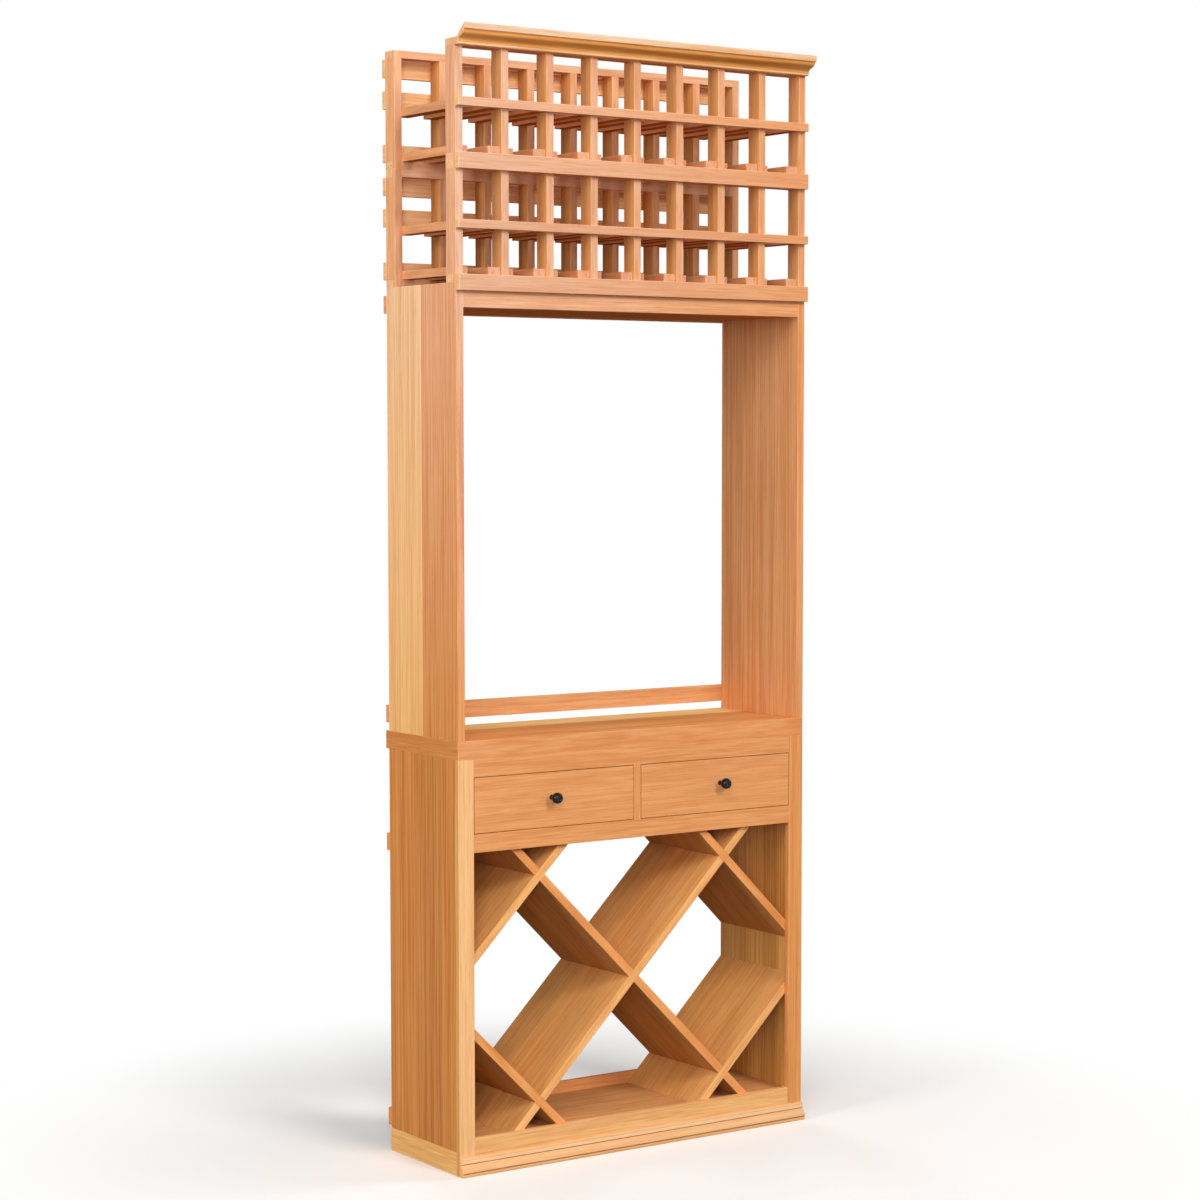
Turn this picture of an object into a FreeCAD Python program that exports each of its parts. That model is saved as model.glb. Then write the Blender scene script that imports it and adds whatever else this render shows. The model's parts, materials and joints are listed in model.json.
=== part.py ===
import FreeCAD, Part
import math
import os

# A tall tasting station in three stages: a base with diamond bins and two drawers,
# an open hutch on its counter, and two stacked racks of cells under a crown moulding.
# Lengths are in millimetres. X runs to the right, the front faces -Y and Z is up.
# Pieces are drawn with Y zero on the front plane of the stiles and moved to the frame when saved.

# Stock and overall sizes
width = 890.0              # over the outer faces of both sides
panel_depth = 275.5        # front plane to the rear edge of the side panels
board = 17.5               # boards, panels, rack stiles
rail = 12.7                # face frame, front rails and back rails
back_rail_high = 37.0

# Base
plinth_high = 48.5
bin_high = 600.0           # bin floor to bin ceiling
floor_lip = 9.0            # bottom rail above the bin floor
face_stile_wide = 37.5
drawer_rail_high = 38.0
drawer_opening_high = 117.0
top_rail_high = 37.0
counter_thick = 38.0
dado_deep = 6.0            # how far the floor and the ceiling enter the sides
lattice_pitch = 478.0      # between parallel diagonal boards, measured level
lap_play = 0.3             # room in the half-lap slots

# Base moulding, applied to the front only
moulding_high = 38.5
moulding_reach = 15.5
strip_high = 6.2           # flat strip along its foot
nose_under = 3.0           # rise of the sloping underside of its nose
nose_high = 3.0            # upright front of the nose
slope_bow = 0.8            # how far the slope over the nose bulges
bead_reach = 6.8
bead_high = 12.5           # bead along its top
bead_round = 5.5           # rounding of the upper front edge
moulding_groove = 1.5      # depth and height of the groove under the bead, setback of the strip

# Drawers
reveal = 1.5               # gap round a drawer front
drawer_side_high = 100.0
drawer_bottom = 6.0
bottom_up = 8.0            # underside of the drawer bottom above the runners
groove_deep = 6.0
rabbet_deep = 8.0          # how far a drawer side enters the drawer front
groove_play = 0.3
runner_wide = 39.5
guide_high = 56.0
kicker_play = 1.0          # room over the drawer sides
rear_stop_deep = 15.0
catch_wide = 30.0
catch_deep = 15.0
catch_back = 25.0          # front plane to the front of the catch block
catch_bite = 12.0          # how far the catch block reaches below the drawer back's top
knob_ball = 23.5
knob_reach = 22.5          # drawer face to the centre of the ball
knob_flat = 9.5            # centre of the ball to its flattened front
knob_neck = 9.0
knob_foot = 10.5
knob_foot_thick = 2.0
knob_bands = 8             # flat bands that the ball is turned in
knob_rise = 5.0            # above the middle of the drawer opening
screw_shank = 4.0
screw_head = 8.0
screw_head_thick = 2.5
screw_into_knob = 14.0
hole_play = 0.3            # radial room round the screw

# Hutch
hutch_high = 925.5
header_high = 49.5
hutch_top_rail_drop = 16.5   # top of the sides down to the top of the upper back rail
hutch_low_rail_rise = 17.0   # counter up to the underside of the lower back rail

# Racks
columns = 8
module_high = 242.0
cross_high = 15.5          # cross rails that close a rack at top and bottom
stile_deep = 37.5
tenon_deep = 26.5          # part of a cross rail that shows at the outer stile
rung_wide = 28.0
rung_high = 17.5
rung_setback = 6.0         # front end of a rung on the left of its stile, behind the stile face
rung_lap = 10.0            # how far a rung on the right of its stile laps onto the front stile
rung_rear_setback = 17.5   # rear end of every rung, ahead of the rear edge of the sides
upper_rung_up = 107.5      # rack bottom to the underside of the upper rungs
wide_rail_high = 32.4

# Crown moulding
crown_reach = 38.5
crown_rise = 25.2          # above the rack
crown_drop = 15.1          # lap over the front of the rack
crown_foot = 9.5           # thickness where it is fixed
crown_bead_high = 5.0
crown_bead_out = 1.7       # bead in front of the foot
crown_cove = 4.7           # depth of its hollow behind a straight slope
crown_lip = 5.0            # level ledge under the fascia
crown_lip_drop = 1.7
crown_fascia = 12.0
crown_top_flat = 2.5
crown_seat = 7.0           # level part on the rack behind the sloping back

# Levels and planes that follow from the sizes
half = width / 2
inner = half - board
floor_top = plinth_high + board
ceiling = floor_top + bin_high
runner_base = ceiling + rail
drawer_base = ceiling + drawer_rail_high
top_rail_base = drawer_base + drawer_opening_high
base_top = top_rail_base + top_rail_high
counter_top = base_top + counter_thick
hutch_top = counter_top + hutch_high
upper_rack_base = hutch_top + module_high
rack_top = upper_rack_base + module_high
rear = panel_depth + rail
opening_half = half - face_stile_wide
pitch = (width - board) / columns
bay_middle = (inner + board / 2) / 2    # middle of a drawer bay, from the middle plane
drawer_in = board / 2 + reveal          # inner face of a drawer, from the middle plane
drawer_out = opening_half - reveal      # outer face
drawer_end = panel_depth - rear_stop_deep
side_top = drawer_base + drawer_side_high
kicker_base = side_top + kicker_play
quarter_bow = bead_round * (1 - 0.5 ** 0.5)   # a quarter round off its chord

os.makedirs("parts", exist_ok=True)
vec = FreeCAD.Vector
to_frame = vec(0, (crown_reach - rear) / 2, 0)


def box(x0, x1, y0, y1, z0, z1):
    return Part.makeBox(x1 - x0, y1 - y0, z1 - z0, vec(x0, y0, z0))


def side_box(side, x0, x1, y0, y1, z0, z1):
    # x0 and x1 are distances from the middle plane, side is -1 for left and 1 for right
    low, high = sorted((side * x0, side * x1))
    return box(low, high, y0, y1, z0, z1)


def rod(radius, x, y0, y1, z):
    return Part.makeCylinder(radius, y1 - y0, vec(x, y0, z), vec(0, 1, 0))


def moulded(start, *steps):
    # A profile in Y and Z run along the whole width. A step is the next point, with a third
    # number where an arc leads to it: how far the arc stands off its chord, to the left of it
    edges = []
    here = vec(-half, *start)
    for y, z, *bow in steps + (start,):
        there = vec(-half, y, z)
        if bow:
            chord = there - here
            off = vec(0, -chord.z, chord.y).normalize() * bow[0]
            edges.append(Part.Arc(here, (here + there) / 2 + off, there).toShape())
        else:
            edges.append(Part.makeLine(here, there))
        here = there
    return Part.Face(Part.Wire(edges)).extrude(vec(width, 0, 0))


def save(name, *solids):
    shape = solids[0] if len(solids) == 1 else Part.makeCompound(solids)
    shape = shape.copy()
    shape.translate(to_frame)
    shape.exportStep("parts/" + name + ".step")


def nailer(z0):
    return box(-half, half, panel_depth, rear, z0, z0 + back_rail_high)


def base_case():
    bin_floor = box(-inner - dado_deep, inner + dado_deep, rail, panel_depth, plinth_high, floor_top)
    bin_ceiling = box(-inner - dado_deep, inner + dado_deep, rail, panel_depth, ceiling, runner_base)
    for side, word in ((-1, "left"), (1, "right")):
        panel = side_box(side, inner, half, rail, panel_depth, plinth_high, base_top)
        save("base_side_" + word, panel.cut(bin_floor).cut(bin_ceiling))
        plinth = side_box(side, inner, half, rail, panel_depth, 0, plinth_high)
        save("plinth_" + word, plinth.cut(bin_floor))
        save("face_stile_" + word, side_box(side, opening_half, half, 0, rail, 0, base_top))
    save("bin_floor", bin_floor)
    save("bin_ceiling", bin_ceiling)
    save("bottom_rail", box(-opening_half, opening_half, 0, rail, 0, floor_top + floor_lip))
    save("drawer_rail", box(-opening_half, opening_half, 0, rail, ceiling, drawer_base))
    save("top_rail", box(-opening_half, opening_half, 0, rail, top_rail_base, base_top))
    save("drawer_mullion", box(-board / 2, board / 2, 0, rail, drawer_base, top_rail_base))
    save("drawer_partition", box(-board / 2, board / 2, rail, panel_depth, runner_base, base_top))
    save("counter", box(-half, half, 0, rear, base_top, counter_top))
    save("base_back_rails", nailer(floor_top - rail), nailer(ceiling - back_rail_high + rail))
    save("base_moulding", base_moulding())


def base_moulding():
    face = moulding_groove - moulding_reach
    nose_base = strip_high + nose_under
    bead = moulding_groove - bead_reach
    bead_base = moulding_high - bead_high
    return moulded(
        (0, 0), (face, 0), (face, strip_high), (face + moulding_groove, strip_high),
        (-moulding_reach, nose_base), (-moulding_reach, nose_base + nose_high),
        (bead, bead_base - moulding_groove, slope_bow), (bead, bead_base), (-bead_reach, bead_base),
        (-bead_reach, moulding_high - bead_round),
        (bead_round - bead_reach, moulding_high, quarter_bow), (0, moulding_high))


def diagonal(rise, level, thick):
    # A board of the lattice at 45 degrees: rise 1 climbs to the right, level is its height at the middle
    up = thick / 2 ** 0.5
    ends = [(-width, up), (width, up), (width, -up), (-width, -up)]
    points = [vec(x, rail, level + rise * x + z) for x, z in ends]
    face = Part.Face(Part.makePolygon(points + points[:1]))
    return face.extrude(vec(0, panel_depth - rail, 0))


def lattice():
    middle = (floor_top + ceiling) / 2
    space = box(-inner, inner, rail, panel_depth, floor_top, ceiling)
    half_lap = (rail + panel_depth) / 2
    front = box(-half, half, rail, half_lap, floor_top, ceiling)
    back = box(-half, half, half_lap, panel_depth, floor_top, ceiling)
    runs = {
        "bin_board_top_left": (1, middle + lattice_pitch),
        "bin_board_rising": (1, middle),
        "bin_board_bottom_right": (1, middle - lattice_pitch),
        "bin_board_top_right": (-1, middle + lattice_pitch),
        "bin_board_falling": (-1, middle),
        "bin_board_bottom_left": (-1, middle - lattice_pitch)}
    boards = {name: diagonal(*run, board).common(space) for name, run in runs.items()}
    wide = {name: diagonal(*run, board + lap_play) for name, run in runs.items()}
    rising = [name for name, run in runs.items() if run[0] > 0]
    falling = [name for name, run in runs.items() if run[0] < 0]
    for ahead, behind in [(one, other) for one in rising for other in falling]:
        # A climbing board runs through in front, except where a short one crosses the long climbing board
        if ahead == "bin_board_rising" and behind != "bin_board_falling":
            ahead, behind = behind, ahead
        boards[ahead] = boards[ahead].cut(wide[behind].common(back))
        boards[behind] = boards[behind].cut(wide[ahead].common(front))
    for name, shape in boards.items():
        save(name, *shape.Solids)


def drawer_bay():
    runners, guides, kickers, stops, catches = [], [], [], [], []
    for side in (-1, 1):
        for x0, x1 in ((board / 2, board / 2 + runner_wide), (inner - runner_wide, inner)):
            runners.append(side_box(side, x0, x1, rail, panel_depth, runner_base, drawer_base))
            kickers.append(side_box(side, x0, x1, board + reveal, panel_depth, kicker_base, base_top))
        guides.append(side_box(side, opening_half, inner, rail, panel_depth, drawer_base,
                               drawer_base + guide_high))
        for x0, x1 in ((drawer_in, drawer_in + rail), (drawer_out - rail, drawer_out)):
            stops.append(side_box(side, x0, x1, drawer_end, panel_depth, drawer_base,
                                  drawer_base + guide_high))
        catches.append(side_box(side, bay_middle - catch_wide / 2, bay_middle + catch_wide / 2,
                                catch_back, catch_back + catch_deep, side_top - catch_bite, base_top))
    save("drawer_runners", *runners)
    save("drawer_guides", *guides)
    save("drawer_kickers", *kickers)
    save("drawer_rear_stops", *stops)
    save("drawer_catches", *catches)


def knob(x, z):
    # Turned: a ball with a flattened front on a neck and a small foot, with a blind hole for its screw
    radius = knob_ball / 2
    neck_angle = math.asin(knob_neck / knob_ball)
    face_angle = math.acos(-knob_flat / radius)
    turns = [neck_angle + (face_angle - neck_angle) * band / knob_bands for band in range(knob_bands + 1)]
    hole = screw_shank / 2 + hole_play
    hole_end = -screw_into_knob - hole_play
    profile = [(hole, 0), (knob_foot / 2, 0), (knob_foot / 2, -knob_foot_thick),
               (knob_neck / 2, -knob_foot_thick)]
    profile += [(radius * math.sin(turn), radius * math.cos(turn) - knob_reach) for turn in turns]
    profile += [(0, -knob_reach - knob_flat), (0, hole_end), (hole, hole_end), (hole, 0)]
    points = [vec(x + out, y, z) for out, y in profile]
    return Part.Face(Part.makePolygon(points)).revolve(vec(x, 0, z), vec(0, 1, 0), 360)


def drawer(side, word):
    bottom_z = drawer_base + bottom_up
    bottom_top = bottom_z + drawer_bottom
    groove_top = bottom_top + groove_play
    knob_x = side * bay_middle
    knob_z = drawer_base + drawer_opening_high / 2 + knob_rise
    groove = side_box(side, drawer_in + rail - groove_deep, drawer_out - rail + groove_deep,
                      board - groove_deep, drawer_end, bottom_z, groove_top)
    front = side_box(side, drawer_in, drawer_out, 0, board, drawer_base + reveal, top_rail_base - reveal)
    front = front.cut(rod(screw_shank / 2 + hole_play, knob_x, 0, board, knob_z))
    walls = []
    for x0, x1 in ((drawer_in, drawer_in + rail), (drawer_out - rail, drawer_out)):
        wall = side_box(side, x0, x1, board - rabbet_deep, drawer_end, drawer_base, side_top)
        front = front.cut(wall)
        walls.append(wall.cut(groove))
    save(word + "_drawer_front", front.cut(groove))
    save(word + "_drawer_sides", *walls)
    save(word + "_drawer_back", side_box(side, drawer_in + rail, drawer_out - rail,
                                         drawer_end - rail, drawer_end, bottom_top, side_top))
    save(word + "_drawer_bottom", side_box(
        side, drawer_in + rail - groove_deep + groove_play, drawer_out - rail + groove_deep - groove_play,
        board - groove_deep + groove_play, drawer_end, bottom_z, bottom_top))
    save(word + "_knob", knob(knob_x, knob_z))
    screw = rod(screw_shank / 2, knob_x, -screw_into_knob, board, knob_z)
    screw = screw.fuse(rod(screw_head / 2, knob_x, board, board + screw_head_thick, knob_z))
    save(word + "_knob_screw", screw.removeSplitter())


def hutch():
    for side, word in ((-1, "left"), (1, "right")):
        save("hutch_front_board_" + word,
             side_box(side, inner, half, 0, panel_depth / 2, counter_top, hutch_top))
        save("hutch_rear_board_" + word,
             side_box(side, inner, half, panel_depth / 2, panel_depth, counter_top, hutch_top))
    save("hutch_header", box(-inner, inner, 0, board, hutch_top - header_high, hutch_top))
    soffit = hutch_top - header_high
    save("hutch_top_board", box(-inner, inner, board, panel_depth, soffit, soffit + board))
    upper_rail = nailer(hutch_top - hutch_top_rail_drop - back_rail_high)
    save("hutch_back_rails", upper_rail, nailer(counter_top + hutch_low_rail_rise))


def cross_rail(y0, z0):
    # Its ends are cut back at the front and pass through notches in the outer stiles
    body = box(-inner, inner, y0, y0 + stile_deep, z0, z0 + cross_high)
    return body.fuse(box(-half, half, y0 + stile_deep - tenon_deep, y0 + stile_deep,
                         z0, z0 + cross_high)).removeSplitter()


def rack(word, base):
    top = base + module_high
    back_y = panel_depth - stile_deep
    crosses = [cross_rail(y0, z0) for y0 in (0, back_y) for z0 in (base, top - cross_high)]
    stiles = {0: [], back_y: []}
    rungs = []
    for column in range(columns + 1):
        x0 = -half + column * pitch
        x1 = x0 + board
        outer = column in (0, columns)
        for y0, row in stiles.items():
            if outer:
                stile = box(x0, x1, y0, y0 + stile_deep, base, top)
                for cross in crosses:
                    stile = stile.cut(cross)
            else:
                stile = box(x0, x1, y0, y0 + stile_deep, base + cross_high, top - cross_high)
            row.append(stile)
        for z0 in (base + cross_high, base + upper_rung_up):
            for rung_x, front in ((x0 - rung_wide, rung_setback), (x1, stile_deep - rung_lap)):
                if rung_x > -half and rung_x + rung_wide < half:
                    rungs.append(box(rung_x, rung_x + rung_wide, front, panel_depth - rung_rear_setback,
                                     z0, z0 + rung_high))
    save(word + "_rack_front_stiles", *stiles[0])
    save(word + "_rack_back_stiles", *stiles[back_y])
    save(word + "_rack_cross_rails", *crosses)
    save(word + "_rack_rungs", *rungs)
    wide_rail = box(-half, half, -rail, 0, base - wide_rail_high / 2, base + wide_rail_high / 2)
    thin_rail = box(-half, half, -rail, 0, base + upper_rung_up, base + upper_rung_up + rung_high)
    save(word + "_rack_front_rails", wide_rail, thin_rail)
    save(word + "_rack_back_rails", nailer(base + cross_high),
         nailer(base + upper_rung_up + rung_high), nailer(top - cross_high - back_rail_high))


def crown():
    foot = rack_top - crown_drop
    tip = rack_top + crown_rise
    lip = tip - crown_fascia
    bead = -crown_foot - crown_bead_out
    return moulded(
        (0, foot), (-crown_foot, foot), (bead, foot + crown_bead_out), (bead, foot + crown_bead_high),
        (crown_lip - crown_reach, lip - crown_lip_drop, -crown_cove), (-crown_reach, lip),
        (-crown_reach, tip), (crown_top_flat - crown_reach, tip), (-crown_seat, rack_top), (0, rack_top))


base_case()
lattice()
drawer_bay()
drawer(-1, "left")
drawer(1, "right")
hutch()
rack("lower", hutch_top)
rack("upper", upper_rack_base)
save("crown_moulding", crown())
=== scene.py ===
import bpy
import bmesh
import json
import math
import random
from mathutils import Matrix, Vector

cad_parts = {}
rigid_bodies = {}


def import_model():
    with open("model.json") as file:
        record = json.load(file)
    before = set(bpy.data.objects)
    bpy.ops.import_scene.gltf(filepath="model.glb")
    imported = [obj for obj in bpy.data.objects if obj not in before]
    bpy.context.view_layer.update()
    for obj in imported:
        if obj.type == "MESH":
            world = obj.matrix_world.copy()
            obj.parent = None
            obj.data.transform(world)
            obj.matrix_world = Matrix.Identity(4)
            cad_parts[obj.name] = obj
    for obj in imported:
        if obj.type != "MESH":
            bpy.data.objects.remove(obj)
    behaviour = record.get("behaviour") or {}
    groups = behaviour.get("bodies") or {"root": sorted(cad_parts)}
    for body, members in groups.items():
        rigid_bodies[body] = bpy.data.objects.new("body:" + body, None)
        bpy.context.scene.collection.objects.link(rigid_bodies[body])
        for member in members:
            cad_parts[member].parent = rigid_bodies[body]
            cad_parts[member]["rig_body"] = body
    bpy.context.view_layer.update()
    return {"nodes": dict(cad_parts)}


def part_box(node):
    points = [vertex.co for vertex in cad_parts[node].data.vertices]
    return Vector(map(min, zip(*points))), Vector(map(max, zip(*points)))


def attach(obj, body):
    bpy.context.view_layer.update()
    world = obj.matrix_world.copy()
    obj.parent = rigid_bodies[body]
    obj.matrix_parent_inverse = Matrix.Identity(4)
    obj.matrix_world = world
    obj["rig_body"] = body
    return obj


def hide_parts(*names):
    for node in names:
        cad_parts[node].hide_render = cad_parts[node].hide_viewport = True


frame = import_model()
print("frame loaded:", len(frame["nodes"]), "nodes")

mm = 0.001
weld = 0.01 * mm        # corners nearer to each other than this are one
onPlane = 0.001 * mm    # corners nearer to a cut than this lie on it
flatDeg = 0.5           # faces that turn by less than this are one flat


def linear(hexColour):
    # From sRGB, with that standard's own numbers
    parts = [int(hexColour[i:i + 2], 16) / 255 for i in (1, 3, 5)]
    return [c / 12.92 if c <= 0.04045 else ((c + 0.055) / 1.055) ** 2.4 for c in parts]


def addNode(tree, kind, links=None, **settings):
    # links maps an input to a socket that feeds it or to a plain value
    node = tree.nodes.new(kind)
    for name, value in settings.items():
        setattr(node, name, value)
    for name, source in (links or {}).items():
        if isinstance(source, bpy.types.NodeSocket):
            tree.links.new(source, node.inputs[name])
        else:
            node.inputs[name].default_value = source
    return node


def newMaterial(name):
    material = bpy.data.materials.new(name)
    material.use_nodes = True
    tree = material.node_tree
    shader = tree.nodes["Principled BSDF"]
    return material, tree, shader


def addMesh(name, bm, material):
    mesh = bpy.data.meshes.new(name)
    bm.to_mesh(mesh)
    bm.free()
    mesh.materials.append(material)
    piece = bpy.data.objects.new(name, mesh)
    bpy.context.scene.collection.objects.link(piece)
    return piece


def grainPattern(tree, at, sizeMm, deeper=1.0, detail=1.0, bend=0.0):
    # Noise drawn out along a board: its length and width, and how many times its width it is deep
    along, across = [1 / (size * mm) for size in sizeMm]
    scaled = addNode(tree, "ShaderNodeMapping", {"Vector": at, "Scale": (along, across, across / deeper)})
    noise = addNode(tree, "ShaderNodeTexNoise", {"Vector": scaled.outputs[0], "Scale": 1.0, "Detail": detail,
                                                 "Distortion": bend})
    return noise.outputs[0]


# Redwood heartwood, quarter-sawn and planed. It gives straight fine lines along each board and slow bands
# of lighter and darker wood. Most outer boards have a thin oil coat. The counter, the lattice and most inner
# and rear boards are left raw
redwoodLook = {
    # Length and width over which a pattern keeps its tone. Year rings are drawn coarse, so that they show
    "ringMm": (90.0, 3.0),
    "streakMm": (190.0, 7.0),
    "bandMm": (700.0, 27.0),
    "lineShare": {"ringMm": 0.42, "streakMm": 0.34, "bandMm": 0.24},
    "lineDepth": 3.0,                  # depth of a line in the board, in widths
    "lineSpan": (0.41, 0.59),          # range of the summed lines, from darkest to lightest
    "darkLine": (0.89, 0.78, 0.66),    # share of the board's own colour, red green blue
    "lightLine": (1.06, 1.13, 1.15),
    "driftMm": 6.0,                    # how far lines wander sideways
    "wanderMm": 125.0,                 # width over which they wander together
    "poreMm": (55.0, 1.5),             # sparse dark dashes
    "poreSpan": (0.60, 0.70),          # only the peaks of the pattern show as dashes
    "poreDark": 0.14,
    "fibreMm": (11.0, 1.3),            # short fibres that break up the lines
    "fibreDark": 0.12,
    "darkShare": (-0.5, -1.0, -1.3),   # dashes and fibres darken red the least
    "edgeWearAndGlint": 0.14,                     # how much lighter the eased edges are, partly wear and partly a painted highlight
    "roughness": (0.55, 0.42),         # on the dark lines and on the light ones
    "sheen": 0.18,                     # specular level of the oil coat
    "bump": 0.5,
    "bumpMm": 0.10,
}


def makeRedwood(name, look):
    material, tree, shader = newMaterial(name)
    grain = addNode(tree, "ShaderNodeAttribute", attribute_name="grain").outputs["Vector"]
    tint = addNode(tree, "ShaderNodeAttribute", attribute_name="tint")
    edgeWearAndGlint = addNode(tree, "ShaderNodeAttribute", attribute_name="edgeWearAndGlint").outputs["Fac"]

    # Lines wander a little to the side along the board
    drift = look["driftMm"] * mm
    wander = grainPattern(tree, grain, (look["bandMm"][0], look["wanderMm"]))
    aside = addNode(tree, "ShaderNodeMath", {0: wander, 1: 2 * drift, 2: -drift}, operation="MULTIPLY_ADD")
    push = addNode(tree, "ShaderNodeCombineXYZ", {"Y": aside.outputs[0]})
    bent = addNode(tree, "ShaderNodeVectorMath", {0: grain, 1: push.outputs[0]}, operation="ADD").outputs[0]

    lines = 0.0
    for size, share in look["lineShare"].items():
        pattern = grainPattern(tree, bent, look[size], deeper=look["lineDepth"])
        lines = addNode(tree, "ShaderNodeMath", {0: pattern, 1: share, 2: lines},
                        operation="MULTIPLY_ADD").outputs[0]

    pores = grainPattern(tree, bent, look["poreMm"], detail=0.0)
    poreDark = addNode(tree, "ShaderNodeMapRange",
                       {"Value": pores, "From Min": look["poreSpan"][0], "From Max": look["poreSpan"][1],
                        "To Max": look["poreDark"]})
    fibres = grainPattern(tree, bent, look["fibreMm"])
    dark = addNode(tree, "ShaderNodeMath", {0: fibres, 1: look["fibreDark"], 2: poreDark.outputs[0]},
                   operation="MULTIPLY_ADD")

    darkest, lightest = look["lineSpan"]
    shade = addNode(tree, "ShaderNodeMapRange",
                    {"Vector": lines, "From Min": (darkest,) * 3, "From Max": (lightest,) * 3,
                     "To Min": look["darkLine"], "To Max": look["lightLine"]}, data_type="FLOAT_VECTOR")
    # The fourth number of the tint says how strongly a board is figured
    figure = addNode(tree, "ShaderNodeMix",
                     {"Factor": tint.outputs["Alpha"], "A": (1, 1, 1), "B": shade.outputs["Vector"]},
                     data_type="VECTOR", clamp_factor=False)
    board = addNode(tree, "ShaderNodeVectorMath", {0: tint.outputs["Color"], 1: figure.outputs["Result"]},
                    operation="MULTIPLY")
    # Eased edges are made lighter: partly wear, partly a painted highlight
    lift = addNode(tree, "ShaderNodeMath", {0: edgeWearAndGlint, 1: look["edgeWearAndGlint"], 2: 1 + look["fibreDark"] / 2},
                   operation="MULTIPLY_ADD")
    level = addNode(tree, "ShaderNodeVectorMath",
                    {0: dark.outputs[0], 1: look["darkShare"], 2: lift.outputs[0]}, operation="MULTIPLY_ADD")
    colour = addNode(tree, "ShaderNodeVectorMath", {0: board.outputs[0], 1: level.outputs[0]},
                     operation="MULTIPLY")
    tree.links.new(colour.outputs[0], shader.inputs["Base Color"])

    rough = addNode(tree, "ShaderNodeMapRange",
                    {"Value": lines, "From Min": darkest, "From Max": lightest,
                     "To Min": look["roughness"][0], "To Max": look["roughness"][1]})
    tree.links.new(rough.outputs["Result"], shader.inputs["Roughness"])
    height = addNode(tree, "ShaderNodeMath", {0: lines, 1: pores}, operation="SUBTRACT")
    bump = addNode(tree, "ShaderNodeBump", {"Height": height.outputs[0], "Strength": look["bump"],
                                            "Distance": look["bumpMm"] * mm})
    tree.links.new(bump.outputs[0], shader.inputs["Normal"])
    shader.inputs["Specular IOR Level"].default_value = look["sheen"]
    return material


# Upright boards are cut where the lines run finer, longer and straighter
uprightLook = dict(redwoodLook, ringMm=(260.0, 2.7), streakMm=(520.0, 5.5), bandMm=(1100.0, 24.0),
                   driftMm=2.0)
rawLook = dict(redwoodLook, sheen=0.0)
oiledRedwood = makeRedwood("redwood_oiled", redwoodLook)
uprightRedwood = makeRedwood("redwood_oiled_straight", uprightLook)
rawRedwood = makeRedwood("redwood_raw", rawLook)
print("redwood made")


# Birch plywood of the drawer bottoms: pale broad figure on the face, light and dark plies on the edges
plywoodLook = {
    "figure": {"sizeMm": (420.0, 26.0), "swing": 0.12, "bend": 1.2},
    "fibre": {"sizeMm": (70.0, 0.9), "swing": 0.06, "bend": 0.0},
    "detail": 2.0,
    "toneSpan": (0.35, 0.65),    # range of the noise, from darkest to lightest
    "plyMm": 1.3,
    "plyDark": 0.55,
    "roughness": 0.62,
    "sheen": 0.15,
    "bump": 0.3,
    "bumpMm": 0.1,
}


def makePlywood(look):
    material, tree, shader = newMaterial("birch_plywood")
    grain = addNode(tree, "ShaderNodeAttribute", attribute_name="grain").outputs["Vector"]
    tint = addNode(tree, "ShaderNodeAttribute", attribute_name="tint").outputs["Color"]
    edge = addNode(tree, "ShaderNodeAttribute", attribute_name="plyEdge").outputs["Fac"]
    tones = []
    for layer in (look["figure"], look["fibre"]):
        pattern = grainPattern(tree, grain, layer["sizeMm"], detail=look["detail"], bend=layer["bend"])
        tone = addNode(tree, "ShaderNodeMapRange",
                       {"Value": pattern, "From Min": look["toneSpan"][0], "From Max": look["toneSpan"][1],
                        "To Min": 1 - layer["swing"], "To Max": 1 + layer["swing"]})
        tones.append(tone.outputs[0])
    face = addNode(tree, "ShaderNodeMath", {0: tones[0], 1: tones[1]}, operation="MULTIPLY")

    ply = look["plyMm"] * mm
    depth = addNode(tree, "ShaderNodeSeparateXYZ", {0: grain}).outputs["Z"]
    plies = addNode(tree, "ShaderNodeMath", {0: depth, 1: 2 * ply}, operation="PINGPONG")
    dark = addNode(tree, "ShaderNodeMath", {0: plies.outputs[0], 1: ply}, operation="GREATER_THAN")
    onEdge = addNode(tree, "ShaderNodeMath", {0: dark.outputs[0], 1: edge}, operation="MULTIPLY")
    level = addNode(tree, "ShaderNodeMapRange",
                    {"Value": onEdge.outputs[0], "To Min": 1.0, "To Max": look["plyDark"]})
    both = addNode(tree, "ShaderNodeMath", {0: face.outputs[0], 1: level.outputs[0]}, operation="MULTIPLY")
    colour = addNode(tree, "ShaderNodeVectorMath", {0: tint, "Scale": both.outputs[0]}, operation="SCALE")
    tree.links.new(colour.outputs[0], shader.inputs["Base Color"])

    bump = addNode(tree, "ShaderNodeBump", {"Height": tones[1], "Strength": look["bump"],
                                            "Distance": look["bumpMm"] * mm})
    tree.links.new(bump.outputs[0], shader.inputs["Normal"])
    shader.inputs["Roughness"].default_value = look["roughness"]
    shader.inputs["Specular IOR Level"].default_value = look["sheen"]
    return material


plywood = makePlywood(plywoodLook)
print("plywood made")
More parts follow.
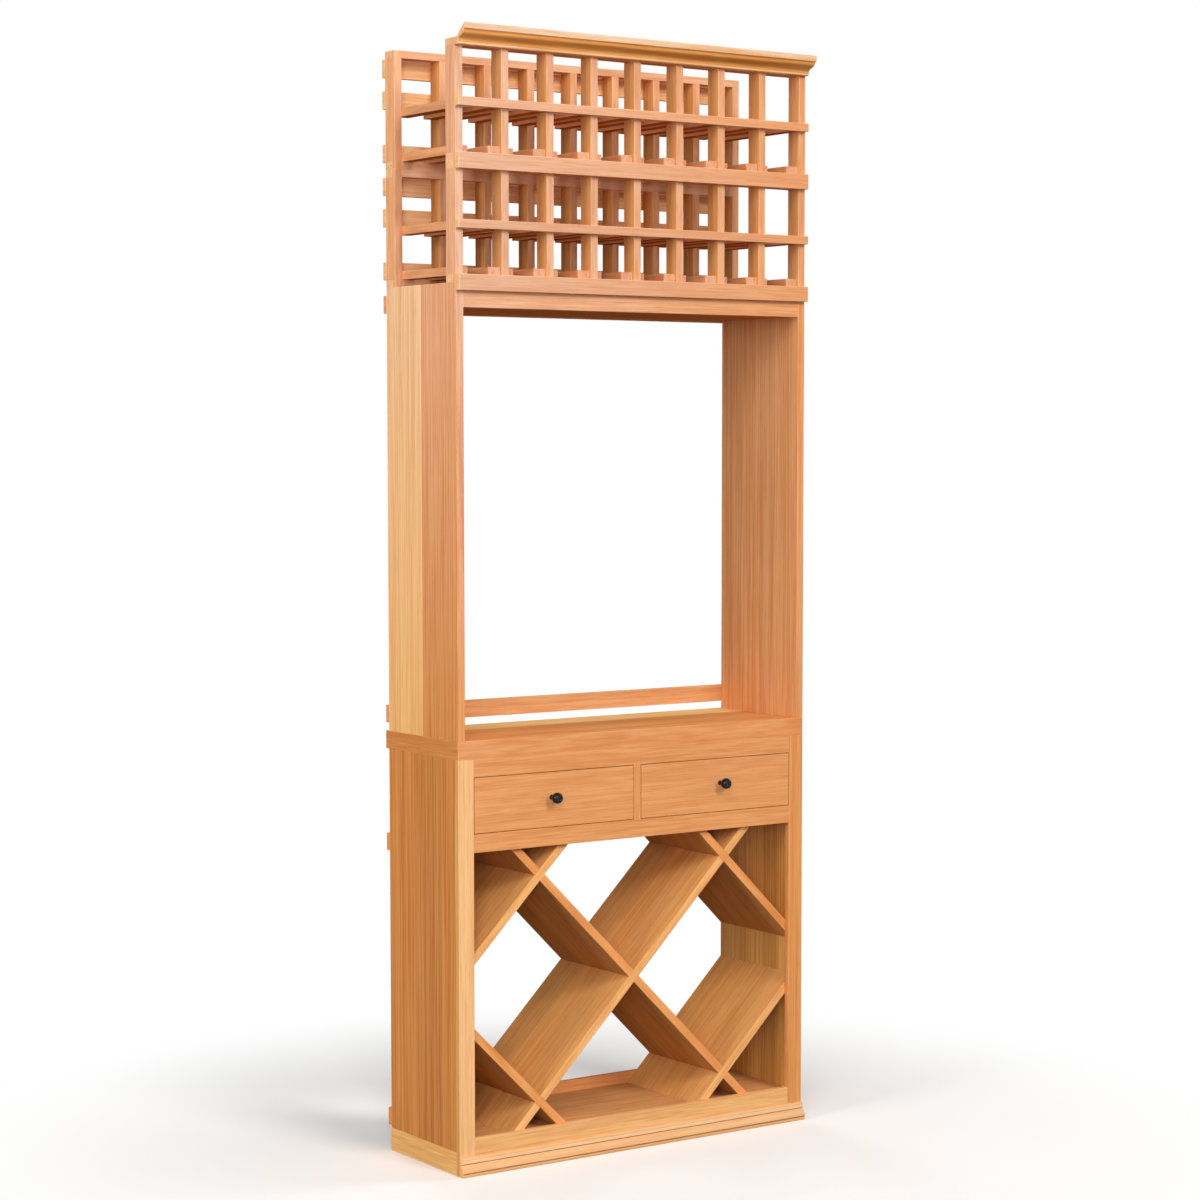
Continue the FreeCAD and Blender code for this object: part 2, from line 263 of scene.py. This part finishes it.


# What a board has where its own dictionary doesn't say otherwise. That one gives tint, the colour of the
# whole board, and its own colours for ends, fronts, undersides, inward and inner sides, the last stave and
# the groove faces. Those for fronts, undersides, inward and inner sides and grooves are painted light and
# shade
timberLook = {
    "material": oiledRedwood,
    "slot": "redwood",
    "run": None,                      # direction of boards that lie at an angle
    "staves": 1,                      # strips that a board is glued up from
    "vary": 0.03,                     # how far boards differ in lightness and warmth
    "staveVary": 0.05,                # the same for each further stave of a board
    "warmShare": (0.2, 0.0, -0.6),    # how far red, green and blue follow the warmth
    "figure": 0.8,                    # strength of the grain
    "shiftM": (40, 9, 9),             # every stave comes from its own place in the grain, within this range
    "far": {},                        # colours that a side fades to along an axis of the node, a painted sheen that is stronger at one end
    "lipped": False,                  # ends closed by a strip whose grain runs along it
    "outerMm": 60.0,                  # inner boards have their middle further in than this on both sides
    "grooveShadeMm": 0.0,                 # hollow faces narrower than this get a painted groove shade
    "hollowOver": 0.4,                # least turn of a hollow corner, in radians
    "easeOver": 40,                   # edges that turn by more degrees than this are eased
    "easeSteps": 2,
    "edgeWearAndGlint": 1.0,                     # strength of the lighter edges, partly wear and partly a painted highlight
}
# How squarely a face looks along a direction, as a cosine, to be that side of its board
squareTo = {"ends": 0.7, "front": 0.999, "under": 0.5, "inward": 0.9, "flat": 0.7}
dealAlong = Vector((1.0, 0.31, 0.17))   # slanted, so that no two boards of a node are level along it


def boardBox(faces):
    points = [v.co for f in faces for v in f.verts]
    low = Vector(min(p[i] for p in points) for i in range(3))
    high = Vector(max(p[i] for p in points) for i in range(3))
    return low, high


def placeOf(faces):
    low, high = boardBox(faces)
    return (low + high).dot(dealAlong)


def boardsOf(bm):
    # Lists of joined faces, one for each board in a node, in the same order each run
    left = dict.fromkeys(bm.faces)
    found = []
    while left:
        reached = [left.popitem()[0]]
        for face in reached:
            for edge in face.edges:
                for other in edge.link_faces:
                    if other in left:
                        del left[other]
                        reached.append(other)
        found.append(reached)
    return sorted(found, key=placeOf)


def boardAxes(faces, run):
    # Unit directions along, across and through a board. run is given where the board lies at an angle
    low, high = boardBox(faces)
    middle = (low + high) / 2
    if run is not None:
        along = Vector(run).normalized()
        across = Vector((0, 1, 0))
        return middle, along, across, along.cross(across)
    order = sorted(range(3), key=lambda i: high[i] - low[i], reverse=True)
    axes = [Vector((i == 0, i == 1, i == 2)) for i in order]
    return middle, axes[0], axes[1], axes[2]


def facing(normal, along, middle):
    # Which side of its board a face is on, for boards whose sides get their own colour, mostly painted light
    # and shade
    if abs(normal.dot(along)) > squareTo["ends"]:
        return "ends"
    if -normal.y > squareTo["front"]:
        return "front"
    if -normal.z > squareTo["under"]:
        return "under"
    if normal.x * middle.x < 0 and abs(normal.x) > squareTo["inward"]:
        return "inward"
    return "tint"


def inGroove(face, edgeWearAndGlintLayer, look):
    # Narrow faces at a hollow corner of a moulding, which get a painted shade
    length = max(e.calc_length() for e in face.edges)
    hollow = any(e.calc_face_angle_signed(0) < -look["hollowOver"] for e in face.edges)
    return hollow and face[edgeWearAndGlintLayer] == 0 and face.calc_area() / length < look["grooveShadeMm"] * mm


def staveTint(hexColour, swing, look):
    light, warm = swing
    channels = zip(linear(hexColour), look["warmShare"])
    return [c * (1 + light) * (1 + share * warm) for c, share in channels] + [look["figure"]]


def easedSolid(node, look):
    # A copy of a node's solid with whole flats, its own shape where it has one, and eased edges
    bm = bmesh.new()
    bm.from_mesh(frame["nodes"][node].data)
    bmesh.ops.remove_doubles(bm, verts=bm.verts, dist=weld)
    bmesh.ops.dissolve_limit(bm, angle_limit=math.radians(flatDeg), verts=bm.verts, edges=bm.edges)
    if "shape" in look:
        look["shape"](bm, *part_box(node), look)
    edgeWearAndGlintLayer = bm.faces.layers.float.new("edgeWearAndGlint")
    sharp = [e for e in bm.edges if len(e.link_faces) == 2
             and e.calc_face_angle_signed(0) > math.radians(look["easeOver"])]
    eased = bmesh.ops.bevel(bm, geom=sharp, offset=look["easeMm"] * mm, segments=look["easeSteps"],
                            profile=0.5, affect="EDGES", material=-1, clamp_overlap=True)
    # Eased faces are marked for the lighter edge, partly wear and partly a painted highlight
    for face in eased["faces"]:
        face[edgeWearAndGlintLayer] = look["edgeWearAndGlint"]
    return bm


def cutStaves(bm, faces, middle, across, staves):
    # A board's faces cut into strips of one width, and the places of the cuts
    spread = [(v.co - middle).dot(across) for f in faces for v in f.verts]
    cuts = [min(spread) + (max(spread) - min(spread)) * (i + 1) / staves for i in range(staves - 1)]
    for cut in cuts:
        parts = list(dict.fromkeys(p for f in faces for p in (f, *f.edges, *f.verts)))
        made = bmesh.ops.bisect_plane(bm, geom=parts, dist=onPlane, plane_co=middle + across * cut,
                                      plane_no=across)
        faces = [p for p in made["geom"] if isinstance(p, bmesh.types.BMFace)]
    return faces, cuts


def curvedSmooth(piece, below):
    # Rounds and hollows shade smoothly, flats and arrises stay crisp
    mesh = piece.data
    mesh.shade_smooth()
    mesh.set_sharp_from_angle(angle=math.radians(below))


def dressTimber(node, ownLook):
    # A node's own boards with eased edges, each board with its own grain and colour
    look = dict(timberLook, **ownLook)
    far = look["far"]
    axis = far.get("axis", 0)
    outer = look["outerMm"] * mm
    dice = random.Random(node)
    low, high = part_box(node)
    bm = easedSolid(node, look)
    edgeLayer = bm.faces.layers.float.new("plyEdge")
    edgeWearAndGlintLayer = bm.faces.layers.float["edgeWearAndGlint"]
    grainLayer = bm.loops.layers.float_vector.new("grain")
    tintLayer = bm.loops.layers.float_color.new("tint")
    for faces in boardsOf(bm):
        middle, along, across, through = boardAxes(faces, look["run"])
        inner = low.x + outer < middle.x < high.x - outer
        faces, cuts = cutStaves(bm, faces, middle, across, look["staves"])
        shifts = [Vector([dice.uniform(0, reach) for reach in look["shiftM"]]) for _ in range(look["staves"])]
        swings = [[dice.uniform(-vary, vary) for _ in range(2)]
                  for vary in [look["vary"]] + [look["staveVary"]] * len(cuts)]
        for face in faces:
            at = (face.calc_center_median() - middle).dot(across)
            stave = sum(at > cut for cut in cuts)
            # Fronts, undersides, inward and inner sides and grooves take their own colours here: painted
            # light and shade
            word = facing(face.normal, along, middle)
            if word == "ends" and look["lipped"]:
                stave = 0
            if word == "tint" and "lastStave" in look and stave == len(cuts):
                word = "lastStave"
            if word in ("tint", "inward") and inner:
                word = "inner"
            # Groove faces take a darker colour: painted shade
            if inGroove(face, edgeWearAndGlintLayer, look):
                word = "crevice"
            key = word if word in look else "tint"
            hues = [staveTint(colour, swings[stave], look) for colour in (look[key], far.get(key, look[key]))]
            face[edgeLayer] = float(abs(face.normal.dot(through)) < squareTo["flat"])
            lines = (along, across, through)
            if word == "ends" and look["lipped"]:
                lines = (across, through, along)
            for loop in face.loops:
                offset = loop.vert.co - middle
                loop[grainLayer] = shifts[stave] + Vector(offset.dot(line) for line in lines)
                # The colour fades along the node's axis to its far colour: a painted sheen
                share = (loop.vert.co[axis] - low[axis]) / (high[axis] - low[axis])
                loop[tintLayer] = [a + (b - a) * share for a, b in zip(*hues)]
    piece = addMesh(node + "_timber", bm, look["material"])
    if "smoothDeg" in look:
        curvedSmooth(piece, look["smoothDeg"])
    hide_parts(node)
    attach(piece, frame["nodes"][node]["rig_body"])


def dressAll(*looks):
    for look in looks:
        for node in look["nodes"]:
            dressTimber(node, look)


# Base case
plinths = {"nodes": ("plinth_left", "plinth_right"), "tint": "#F2BA72", "easeMm": 0.2}
faceRails = {"nodes": ("drawer_rail", "top_rail", "drawer_mullion"), "tint": "#DA9861", "vary": 0.01,
             "easeMm": 0.3}
bottomRail = {"nodes": ("bottom_rail",), "tint": "#E7B277", "easeMm": 0.6}
# The inward faces are paler and less red than the outside: painted light that offsets the shade inside the
# case
baseSides = {"nodes": ("base_side_left", "base_side_right"), "material": uprightRedwood, "tint": "#CA823E",
             "inward": "#D7A258", "staves": 5, "vary": 0.08, "staveVary": 0.10, "figure": 1.4, "easeMm": 0.5}
# Its front is paler than its sides: a painted sheen
faceStileLeft = {"nodes": ("face_stile_left",), "material": uprightRedwood, "tint": "#DBA664",
                 "front": "#EEBB85", "figure": 0.65, "easeMm": 0.6}
faceStileRight = {"nodes": ("face_stile_right",), "material": uprightRedwood, "tint": "#D79558",
                  "easeMm": 0.6}
# Its front fades a little deeper towards the right end: a painted sheen
counterBoard = {"nodes": ("counter",), "material": rawRedwood, "tint": "#E4A065", "lastStave": "#F7D393",
                "front": "#DB9A69", "ends": "#D69256", "lipped": True, "far": {"front": "#DA9660"},
                "staves": 3, "vary": 0.01, "staveVary": 0.02, "easeMm": 0.5}
bins = {"nodes": ("bin_floor", "bin_ceiling"), "material": rawRedwood, "tint": "#DA9E68", "staves": 3,
        "easeMm": 0.5}
baseBack = {"nodes": ("base_back_rails",), "material": rawRedwood, "tint": "#E2A066", "easeMm": 0.9}
drawerWays = {"nodes": ("drawer_partition", "drawer_runners", "drawer_guides", "drawer_kickers",
                        "drawer_rear_stops", "drawer_catches"),
              "material": rawRedwood, "tint": "#DDA06C", "easeMm": 0.5}
dressAll(plinths, faceRails, bottomRail, baseSides, faceStileLeft, faceStileRight)
dressAll(counterBoard, bins, baseBack, drawerWays)
print("base case dressed")

# Lattice of the bins, its boards at 45 degrees
# Lattice fronts are painted lighter and their undersides darker: painted light and shade
risingBoards = {"nodes": ("bin_board_rising", "bin_board_top_left", "bin_board_bottom_right"),
                "material": rawRedwood, "run": (1, 0, 1), "tint": "#DDA263", "under": "#C08E58",
                "front": "#EDB274", "staves": 3, "staveVary": 0.09, "easeMm": 0.8}
fallingBoards = dict(risingBoards, run=(1, 0, -1), tint="#DD9E60", front="#E39C60",
                     nodes=("bin_board_falling", "bin_board_top_right", "bin_board_bottom_left"))
dressAll(risingBoards, fallingBoards)
print("lattice dressed")


def wholeOf(bm):
    return bm.verts[:] + bm.edges[:] + bm.faces[:]


def shapeOgee(bm, low, high, look):
    # The hollow between bead and lip turned into an S, round above and hollow below
    lipZ, footZ = high.z - look["lipMm"][1] * mm, low.z + look["footMm"][1] * mm
    lipY, footY = low.y + look["lipMm"][0] * mm, low.y + look["footMm"][0] * mm
    for step in range(1, look["steps"]):
        bmesh.ops.bisect_plane(bm, geom=wholeOf(bm), dist=onPlane, plane_no=(0, 0, 1),
                               plane_co=(0, 0, lipZ + (footZ - lipZ) * step / look["steps"]))
    bm.normal_update()
    for v in bm.verts:
        share = (lipZ - v.co.z) / (lipZ - footZ)
        inside = look["keepShare"] < share < 1 - look["keepShare"]
        if inside and any(-f.normal.y > look["frontOver"] for f in v.link_faces):
            turn = (share - look["swell"] * math.sin(math.tau * share) / math.tau
                    + look["pinch"] * math.sin(2 * math.tau * share) / (2 * math.tau))
            v.co.y = lipY + (footY - lipY) * turn
    bm.normal_update()


# Mouldings, whose rounds and hollows stay smooth
# Its fronts are paler higher up, a painted highlight on the bead, and its grooves get painted shade
baseMoulding = {"nodes": ("base_moulding",), "tint": "#DCAC7B", "ends": "#F7BB70", "lipped": True,
                "grooveShadeMm": 2.3, "crevice": "#94500E", "front": "#E2AA6E",
                "far": {"axis": 2, "front": "#F7D6B0"},
                "figure": 0.35, "easeMm": 0.2, "easeOver": 44, "smoothDeg": 35}
# The fascia and bead fronts are paler and pinker, a painted sheen that fades towards the right end
crownMoulding = {"nodes": ("crown_moulding",), "tint": "#E29E58", "front": "#D8BCA3", "ends": "#E8B080",
                 "lipped": True, "easeMm": 0.5, "easeOver": 44, "smoothDeg": 35,
                 "far": {"tint": "#D69347", "front": "#DDB286"},
                 "shape": shapeOgee, "swell": 1.05, "pinch": 0.35, "steps": 24,
                 # Places in the profile, back from the fascia: the lip down from the top, the foot up
                 "lipMm": (5.0, 13.7), "footMm": (27.3, 5.0),
                 # The S keeps its two ends, and leaves faces that hardly look to the front
                 "keepShare": 0.01, "frontOver": 0.2}
dressAll(baseMoulding, crownMoulding)
print("mouldings dressed")

# Drawers
drawerFronts = {"nodes": ("left_drawer_front", "right_drawer_front"), "tint": "#DB9A63", "figure": 0.6,
                "staves": 2, "vary": 0.02, "staveVary": 0.02, "easeMm": 0.9}
drawerBoxes = {"nodes": ("left_drawer_sides", "right_drawer_sides", "left_drawer_back", "right_drawer_back"),
               "material": rawRedwood, "tint": "#E3AA74", "easeMm": 0.8}
drawerBottoms = {"nodes": ("left_drawer_bottom", "right_drawer_bottom"), "material": plywood,
                 "slot": "plywood", "tint": "#E2BE8E", "staves": 2, "easeMm": 0.3}
dressAll(drawerFronts, drawerBoxes, drawerBottoms)
print("drawers dressed")

# Hutch
# Paler and pinker towards the top, a painted sheen; its front has its own colour, painted as the light falls
hutchFrontLeft = {"nodes": ("hutch_front_board_left",), "material": uprightRedwood, "tint": "#D38B48",
                  "front": "#D99560", "vary": 0.02, "figure": 1.0, "easeMm": 0.6,
                  "far": {"axis": 2, "tint": "#E5A77D", "front": "#D7A88C"}}
# Its front is a little darker than its sides, as the light falls: painted shade
hutchFrontRight = {"nodes": ("hutch_front_board_right",), "material": uprightRedwood, "tint": "#E1A26D",
                   "front": "#DC9A66", "figure": 1.0, "vary": 0.02, "easeMm": 0.6}
# Paler towards the top: a painted sheen
hutchRearLeft = {"nodes": ("hutch_rear_board_left",), "material": uprightRedwood, "tint": "#F1B974",
                 "vary": 0.02, "easeMm": 0.6, "far": {"axis": 2, "tint": "#F5C698"}}
hutchRearRight = {"nodes": ("hutch_rear_board_right",), "material": uprightRedwood, "tint": "#EAA972",
                  "figure": 1.1, "vary": 0.02, "easeMm": 0.6}
# Pinker at the left end: a painted sheen
hutchHeader = {"nodes": ("hutch_header",), "tint": "#DBAB8B", "easeMm": 0.7, "far": {"tint": "#D79A68"}}
hutchBack = {"nodes": ("hutch_back_rails",), "tint": "#D79F71", "staves": 2, "staveVary": 0.07, "easeMm": 0.9}
hutchTop = {"nodes": ("hutch_top_board",), "material": rawRedwood, "tint": "#D9965E", "staves": 3,
            "easeMm": 0.5}
dressAll(hutchFrontLeft, hutchFrontRight, hutchRearLeft, hutchRearRight, hutchHeader, hutchBack, hutchTop)
print("hutch dressed")


def inBothRacks(word):
    return "lower_rack_" + word, "upper_rack_" + word


# Racks
# Inner sides are painted darker and more golden, as shade falls in the cells; fronts are paler and pinker, a
# painted sheen fading to the right
rackStiles = {"nodes": inBothRacks("front_stiles"), "tint": "#E7AB83", "inner": "#DCA166", "front": "#D7AC93",
              "easeMm": 0.8, "far": {"tint": "#DCA874", "front": "#D69768"}}
# Fronts of the rear stiles are paler: painted light in the cells
rackRearStiles = dict(rackStiles, nodes=inBothRacks("back_stiles"), material=rawRedwood, tint="#E9AC7E",
                      front="#E2AD88", far={"tint": "#DCA874"})
# Pinker at the left end, a painted sheen, and the edges get a strong painted highlight
rackRails = {"nodes": inBothRacks("front_rails"), "tint": "#D6A98D", "ends": "#EDB97C", "figure": 0.55,
             "easeMm": 1.0, "edgeWearAndGlint": 2.4, "far": {"tint": "#D59666"}}
# Pale and yellow to stand in for light that reaches the rear rails inside the cells: painted light
rackBack = {"nodes": inBothRacks("back_rails"), "material": rawRedwood, "tint": "#EDBF92", "vary": 0.04,
            "easeMm": 0.9}
rackCross = {"nodes": inBothRacks("cross_rails"), "material": rawRedwood, "tint": "#E2B18F",
             "ends": "#F0C094", "easeMm": 0.7}
# Their down-facing faces are painted darker: painted shade
rackRungs = {"nodes": inBothRacks("rungs"), "material": rawRedwood, "tint": "#E0A174", "under": "#B87C4C",
             "ends": "#D5A688", "vary": 0.06, "easeMm": 0.9}
dressAll(rackStiles, rackRearStiles, rackRails, rackBack, rackCross, rackRungs)
print("racks dressed")


def mottle(tree, shader, look):
    # Fine noise that wavers a finish's colour and gloss
    at = addNode(tree, "ShaderNodeTexCoord").outputs["Object"]
    noise = addNode(tree, "ShaderNodeTexNoise",
                    {"Vector": at, "Scale": 1 / (look["mottleMm"] * mm), "Detail": look["detail"]}).outputs[0]
    rough = addNode(tree, "ShaderNodeMapRange",
                    {"Value": noise, "To Min": look["roughness"][0], "To Max": look["roughness"][1]})
    tone = addNode(tree, "ShaderNodeMapRange",
                   {"Value": noise, "To Min": look["tone"][0], "To Max": look["tone"][1]})
    colour = addNode(tree, "ShaderNodeVectorMath", {0: linear(look["colour"]), "Scale": tone.outputs[0]},
                     operation="SCALE")
    tree.links.new(colour.outputs[0], shader.inputs["Base Color"])
    tree.links.new(rough.outputs[0], shader.inputs["Roughness"])
    return noise


# Black enamel on turned metal: near black with a soft even sheen from the stoved coat
enamelLook = {"colour": "#0C0D10", "tone": (0.8, 1.25), "mottleMm": 1.4, "detail": 2.0,
              "roughness": (0.10, 0.24), "sheen": 0.24, "bump": 0.25, "bumpMm": 0.05}


def makeEnamel(look):
    material, tree, shader = newMaterial("black_enamel")
    peel = mottle(tree, shader, look)
    bump = addNode(tree, "ShaderNodeBump", {"Height": peel, "Strength": look["bump"],
                                            "Distance": look["bumpMm"] * mm})
    tree.links.new(bump.outputs[0], shader.inputs["Normal"])
    shader.inputs["Specular IOR Level"].default_value = look["sheen"]
    return material


# Turned knobs: a ball cut flat and dished in front, on a neck and a foot
knobLook = {
    "flatMm": 9.5,           # from the flat front to the middle of the ball
    "rimMm": 1.2,
    "rimSteps": 4,
    "dishMm": ((0.4, 0.0), (0.5, 0.35), (1.6, 0.25), (1.6, 0.10)),    # each step inwards and down
    "neckMm": 8.2,
    "footMm": 10.5,
    # Rings from the ball to the drawer: share of the way, and girth as a share of the neck's
    "neckRings": ((0.12, 0.97), (0.5, 0.97), (0.78, 1.0)),
    "footRings": (0.84, 1.0),
    "segments": 48,
    "smoothDeg": 40,
}


def turnKnob(word, look, material):
    low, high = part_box(word + "_knob")
    middle = (low + high) / 2
    radius = (high.x - low.x) / 2
    centreY = low.y + look["flatMm"] * mm
    bm = bmesh.new()
    bmesh.ops.create_uvsphere(bm, u_segments=look["segments"], v_segments=look["segments"] // 2,
                              radius=radius)
    bmesh.ops.rotate(bm, verts=bm.verts, matrix=Matrix.Rotation(math.pi / 2, 3, "X"))
    bmesh.ops.translate(bm, verts=bm.verts, vec=(middle.x, centreY, middle.z))

    # Flatten the front, soften its rim and dish it
    cut = bmesh.ops.bisect_plane(bm, geom=wholeOf(bm), dist=onPlane, plane_co=(0, low.y, 0),
                                 plane_no=(0, -1, 0), clear_outer=True)
    rim = [e for e in cut["geom_cut"] if isinstance(e, bmesh.types.BMEdge)]
    bmesh.ops.edgeloop_fill(bm, edges=rim)
    bmesh.ops.bevel(bm, geom=rim, offset=look["rimMm"] * mm, segments=look["rimSteps"], profile=0.5,
                    affect="EDGES", material=-1)
    bmesh.ops.recalc_face_normals(bm, faces=bm.faces)
    face = max(bm.faces, key=lambda f: len(f.verts))
    for inset, sink in look["dishMm"]:
        bmesh.ops.inset_region(bm, faces=[face], thickness=inset * mm, depth=-sink * mm, use_even_offset=True)

    # Open the back at the neck and draw the neck and foot out of it
    neck = look["neckMm"] * mm / 2
    foot = look["footMm"] * mm / 2
    throat = centreY + math.sqrt(radius ** 2 - neck ** 2)
    cut = bmesh.ops.bisect_plane(bm, geom=wholeOf(bm), dist=onPlane, plane_co=(0, throat, 0),
                                 plane_no=(0, 1, 0), clear_outer=True)
    ring = [e for e in cut["geom_cut"] if isinstance(e, bmesh.types.BMEdge)]
    rings = [(reach, neck * girth) for reach, girth in look["neckRings"]]
    rings += [(reach, foot) for reach in look["footRings"]]
    for reach, girth in rings:
        grown = bmesh.ops.extrude_edge_only(bm, edges=ring)
        verts = [p for p in grown["geom"] if isinstance(p, bmesh.types.BMVert)]
        ring = [p for p in grown["geom"] if isinstance(p, bmesh.types.BMEdge)]
        for v in verts:
            out = Vector((v.co.x - middle.x, 0, v.co.z - middle.z)).normalized() * girth
            v.co = Vector((middle.x + out.x, throat + (high.y - throat) * reach, middle.z + out.z))
    bmesh.ops.edgeloop_fill(bm, edges=ring)
    bmesh.ops.recalc_face_normals(bm, faces=bm.faces)

    piece = addMesh(word + "_knob_turned", bm, material)
    curvedSmooth(piece, look["smoothDeg"])
    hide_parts(word + "_knob")
    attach(piece, word + "_drawer")


enamel = makeEnamel(enamelLook)
for word in ("left", "right"):
    turnKnob(word, knobLook, enamel)
print("knobs turned")

# Zinc plated steel of the two knob screws: pale grey with a fine mottle
zincLook = {"colour": "#B9BAB6", "tone": (0.85, 1.1), "mottleMm": 0.9, "detail": 3.0,
            "roughness": (0.24, 0.44), "metallic": 1.0}


def makeZinc(look):
    material, tree, shader = newMaterial("zinc_plated_steel")
    mottle(tree, shader, look)
    shader.inputs["Metallic"].default_value = look["metallic"]
    return material


zinc = makeZinc(zincLook)
for word in ("left", "right"):
    screw = frame["nodes"][word + "_knob_screw"]
    screw.data.materials.clear()
    screw.data.materials.append(zinc)
print("screws finished")

# Studio: pale floor, white surround, a broad key high in front and softer lamps on both sides and behind
floorLook = {"sizeM": 9.0, "dropMm": 0.2, "colour": "#FAFAF9", "bounceColour": "#3C3834", "roughness": 0.9,
             "fadeM": (0.55, 1.5),    # distances from the middle between which it fades to white
             "white": 1.0}
surroundLook = {"ambient": 0.12, "white": 1.0}
lamps = {
    "key": {"at": (0.8, -9.6, 6.6), "aimZ": 1.1, "size": 3.6, "watts": 620, "colour": "#FFFAF4"},
    "top": {"at": (-4.6, -5.2, 6.0), "aimZ": 1.0, "size": 4.4, "watts": 200, "colour": "#FFFFFF"},
    "right": {"at": (7.0, -2.2, 3.0), "aimZ": 1.2, "size": 3.0, "watts": 210, "colour": "#FFFFFF"},
    "fill": {"at": (-7.4, -0.9, 2.6), "aimZ": 1.2, "size": 3.0, "watts": 255, "colour": "#FFFFFF"},
    "camera_side": {"at": (-4.6, -6.4, 2.3), "aimZ": 1.4, "size": 3.0, "watts": 190, "colour": "#FFFFFF"},
    "rear": {"at": (1.6, 8.4, 3.6), "aimZ": 1.2, "size": 4.0, "watts": 190, "colour": "#FFFFFF"},
}


def shownIn(tree):
    # 1 where the camera sees it, straight or in a reflection, and 0 for the light it sends onto the part
    ray = addNode(tree, "ShaderNodeLightPath")
    seen = addNode(tree, "ShaderNodeMath", {0: ray.outputs["Is Camera Ray"], 1: ray.outputs["Is Glossy Ray"]},
                   operation="MAXIMUM")
    shown = addNode(tree, "ShaderNodeMath", {0: seen.outputs[0], 1: ray.outputs["Is Transmission Ray"]},
                    operation="MAXIMUM")
    return shown.outputs[0]


def makeFloor(look):
    material, tree, shader = newMaterial("pale_floor")
    at = addNode(tree, "ShaderNodeTexCoord").outputs["Object"]
    far = addNode(tree, "ShaderNodeVectorMath", {0: at}, operation="LENGTH")
    near, away = look["fadeM"]
    fade = addNode(tree, "ShaderNodeMapRange",
                   {"Value": far.outputs["Value"], "From Min": near, "From Max": away},
                   interpolation_type="SMOOTHSTEP")
    shown = shownIn(tree)
    colour = addNode(tree, "ShaderNodeMix", {"Factor": shown, "A": linear(look["bounceColour"]) + [1],
                                             "B": linear(look["colour"]) + [1]}, data_type="RGBA")
    tree.links.new(colour.outputs["Result"], shader.inputs["Base Color"])
    shader.inputs["Roughness"].default_value = look["roughness"]
    white = addNode(tree, "ShaderNodeEmission", {"Strength": look["white"]})
    lift = addNode(tree, "ShaderNodeMath", {0: fade.outputs[0], 1: shown}, operation="MULTIPLY")
    mixed = addNode(tree, "ShaderNodeMixShader",
                    {0: lift.outputs[0], 1: shader.outputs[0], 2: white.outputs[0]})
    tree.links.new(mixed.outputs[0], tree.nodes["Material Output"].inputs["Surface"])
    bm = bmesh.new()
    bmesh.ops.create_grid(bm, x_segments=1, y_segments=1, size=look["sizeM"])
    bmesh.ops.translate(bm, verts=bm.verts, vec=(0, 0, -look["dropMm"] * mm))
    floor = addMesh("floor", bm, material)


def makeSurround(look):
    world = bpy.data.worlds.new("surround")
    world.use_nodes = True
    bpy.context.scene.world = world
    tree = world.node_tree
    strength = addNode(tree, "ShaderNodeMapRange", {"Value": shownIn(tree), "To Min": look["ambient"],
                                                    "To Max": look["white"]})
    back = tree.nodes["Background"]
    back.inputs["Color"].default_value = (1, 1, 1, 1)
    tree.links.new(strength.outputs[0], back.inputs["Strength"])


makeFloor(floorLook)
makeSurround(surroundLook)
for name, lamp in lamps.items():
    data = bpy.data.lights.new(name, "AREA")
    data.shape = "DISK"
    data.size = lamp["size"]
    data.energy = lamp["watts"]
    data.color = linear(lamp["colour"])
    aim = Vector((0, 0, lamp["aimZ"])) - Vector(lamp["at"])
    lampObject = bpy.data.objects.new(name, data)
    lampObject.location = lamp["at"]
    lampObject.rotation_euler = aim.to_track_quat("-Z", "Y").to_euler()
    bpy.context.scene.collection.objects.link(lampObject)
print("studio lit")

# Camera, set where the photograph was taken from
photoCamera = {"at": (-3.46898, -5.04302, 1.51044), "tiltDeg": 85.6985, "turnDeg": -35.009,
               "lensMm": 85.833, "sensorMm": 36.0, "shift": (-0.02345, 0.04409)}
cameraData = bpy.data.cameras.new("photo_camera")
cameraData.sensor_fit = "HORIZONTAL"
cameraData.sensor_width = photoCamera["sensorMm"]
cameraData.lens = photoCamera["lensMm"]
cameraData.shift_x, cameraData.shift_y = photoCamera["shift"]
camera = bpy.data.objects.new("photo_camera", cameraData)
camera.location = photoCamera["at"]
camera.rotation_euler = (math.radians(photoCamera["tiltDeg"]), 0, math.radians(photoCamera["turnDeg"]))
bpy.context.scene.collection.objects.link(camera)
bpy.context.scene.camera = camera
bpy.context.scene.view_settings.view_transform = "Standard"
print("camera set")
